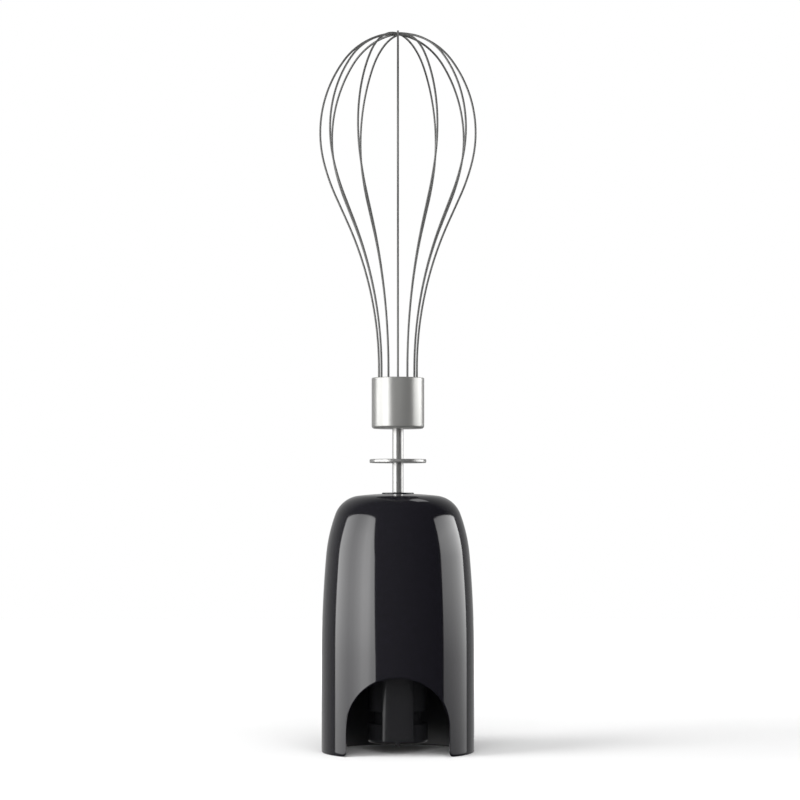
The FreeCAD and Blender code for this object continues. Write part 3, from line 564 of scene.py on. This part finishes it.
# ------------------------------------------------------------------ wire loops
# Six loops of polished stainless wire, each bent in one plane: upright out of the ferrule, a slow
# flare, a straight, the belly and the crown, where they nest under each other.
WIRE, WIRE_CIRCLE, WIRE_FOOT = 0.45, 8.27, 147.2
FLARE_START, FLARE, LEAN, LEG = 165.7, 156.4, math.radians(24.2), 12.9
BELLY, BELLY_SWEEP = 89.5, math.radians(10.0)
UPPER, UPPER_SWEEP = 53.9, math.radians(50.8)
LOOPS, NESTING, CROWN_STEP = 6, (3, 0, 2, 5, 1, 4), 0.2


def loop_line(shorter):
    """Centre line of a loop in its plane, as (across, up), with its normal in that plane.

    Each stretch is a straight or an arc that starts along the last one's direction."""
    here, heading = np.array([WIRE_CIRCLE, WIRE_FOOT]), math.pi / 2
    points, normals = [], []

    def straight(length, count):
        nonlocal here
        step = np.array([math.cos(heading), math.sin(heading)])
        along = np.linspace(0, length, count, endpoint=False)[:, None]
        points.append(here + along * step)
        normals.append(np.tile([step[1], -step[0]], (count, 1)))
        here = here + length * step

    def arc(radius, sweep, count):
        nonlocal here, heading
        centre = here + radius * np.array([-math.sin(heading), math.cos(heading)])
        side = math.copysign(1.0, radius)
        turn = heading + side * np.linspace(0, sweep, count, endpoint=False)
        out = np.stack([np.sin(turn), -np.cos(turn)], 1)
        points.append(centre + radius * out)
        normals.append(out)
        heading += side * sweep
        here = centre + radius * np.array([math.sin(heading), -math.cos(heading)])

    straight(FLARE_START - WIRE_FOOT, 4)
    arc(-FLARE, LEAN, 26)
    straight(LEG - shorter, 6)
    arc(BELLY, BELLY_SWEEP, 14)
    arc(UPPER, UPPER_SWEEP, 38)
    last = math.pi - heading
    arc(here[0] / math.sin(last), last, 28)
    half, outward = np.concatenate(points), np.concatenate(normals)
    top, up = here[None], np.array([[0.0, 1.0]])
    mirror = np.array([-1, 1])
    return (np.concatenate([half, top, half[::-1] * mirror]),
            np.concatenate([outward, up, outward[::-1] * mirror]))


def loop_tube(number):
    """A round section carried along the loop's line: the line plus radius times a mix of its
    normal and the plane's own normal."""
    line, normal = loop_line(NESTING.index(number) * CROWN_STEP)
    turn = math.pi / LOOPS * number
    across = np.array([math.cos(turn), math.sin(turn), 0.0])
    beside = np.array([-math.sin(turn), math.cos(turn), 0.0])
    up = np.array([0.0, 0.0, 1.0])
    sides = 14
    around = 2 * np.pi * np.arange(sides) / sides
    centre = line[:, :1] * across + line[:, 1:] * up
    out = normal[:, :1] * across + normal[:, 1:] * up
    ring = out[:, None] * np.cos(around)[:, None] + beside * np.sin(around)[:, None]
    points = (centre[:, None] + WIRE * ring).reshape(-1, 3)
    faces = quads(len(line), sides).tolist()
    last = (len(line) - 1) * sides
    ends = [list(range(sides))[::-1], list(range(last, last + sides))]
    return points, [face[::-1] for face in faces + ends]


wire_steel = steel("drawn_wire", (0.17, 0.17, 0.167), 0.3, 0.4, scale=(700, 700, 60), bump=0.02,
                   metallic=0.7)
for number in range(LOOPS):
    add_piece(f"whisk_wire_{number + 1}", *loop_tube(number), "whisk",
              [f"wire_loop_{number + 1}"], "wire_steel", wire_steel, 60)

# ------------------------------------------------------------------ gears
# Planets and internal gear are moulded in natural acetal, a milky slightly waxy plastic with a
# faint swirl; the sun gear and its shaft are machined steel with turning marks.
acetal, start, shader = material("natural_acetal", (0.78, 0.77, 0.71), roughness=0.4)
swirl = start.noise(130.0, 5.0, Distortion=1.5)
feed(start, shader, Base_Color=start.blend(swirl, (0.74, 0.73, 0.66), (0.82, 0.81, 0.76)),
     Roughness=0.32 + swirl * 0.16)
dress(acetal, "ring_gear", *(f"planet_gear_{number}" for number in (1, 2, 3)))
dress(steel("machined_steel", (0.5, 0.5, 0.5), 0.22, 0.4, (300, 300, 4000), 0.3),
      "sun_gear", "drive_shaft", *(f"planet_pin_{number}" for number in (1, 2, 3)))

# ------------------------------------------------------------------ carrier, spindle and screws
# Carrier plates are stamped from sheet, the spindle is turned from bar, and the three case screws
# are zinc plated with a slight yellow cast.
dress(steel("stamped_sheet", (0.55, 0.55, 0.56), 0.3, 0.5, (220, 220, 220), 0.3),
      "carrier_lower_plate", "carrier_upper_plate", "carrier_washer")
dress(steel("turned_spindle", (0.5, 0.5, 0.51), 0.18, 0.32, (80, 80, 6000), 0.25),
      "output_spindle")
dress(steel("zinc_plate", (0.62, 0.60, 0.52), 0.3, 0.5, (400, 400, 400), 0.3),
      *(f"case_screw_{number}" for number in (1, 2, 3)))

# ------------------------------------------------------------------ case, bushes and rubber
# The cover and drive socket are dark filled mouldings with a fine spark-eroded grain, the bushes
# are sintered bronze with open pores, and the gasket and grip ring are black rubber.


def moulded(name, colour, low, high, scale, bump):
    """A plastic or rubber with an even grain in its roughness and surface."""
    made, start, shader = material(name, colour, roughness=low)
    grain = start.noise(scale, 4.0)
    feed(start, shader, Roughness=low + (high - low) * grain,
         Normal=start.bump(bump, 0.0001, grain))
    return made


dress(moulded("cover_moulding", (0.06, 0.06, 0.065), 0.35, 0.6, 900.0, 0.3), "gearbox_cover")
dress(moulded("socket_moulding", (0.03, 0.03, 0.032), 0.3, 0.5, 900.0, 0.25), "drive_socket")
dress(moulded("black_rubber", (0.025, 0.025, 0.025), 0.55, 0.8, 700.0, 0.3),
      "case_gasket", "grip_ring")
bronze, start, shader = material("sintered_bronze", (0.62, 0.42, 0.22), metallic=1.0,
                                 roughness=0.4)
pores = start.node("ShaderNodeTexVoronoi", inputs={"Vector": start.place(), "Scale": 2500.0})
feed(start, shader, Roughness=0.3 + pores * 0.4, Normal=start.bump(0.3, 0.00005, pores))
dress(bronze, "input_bush", "output_bush_lower", "output_bush_upper")
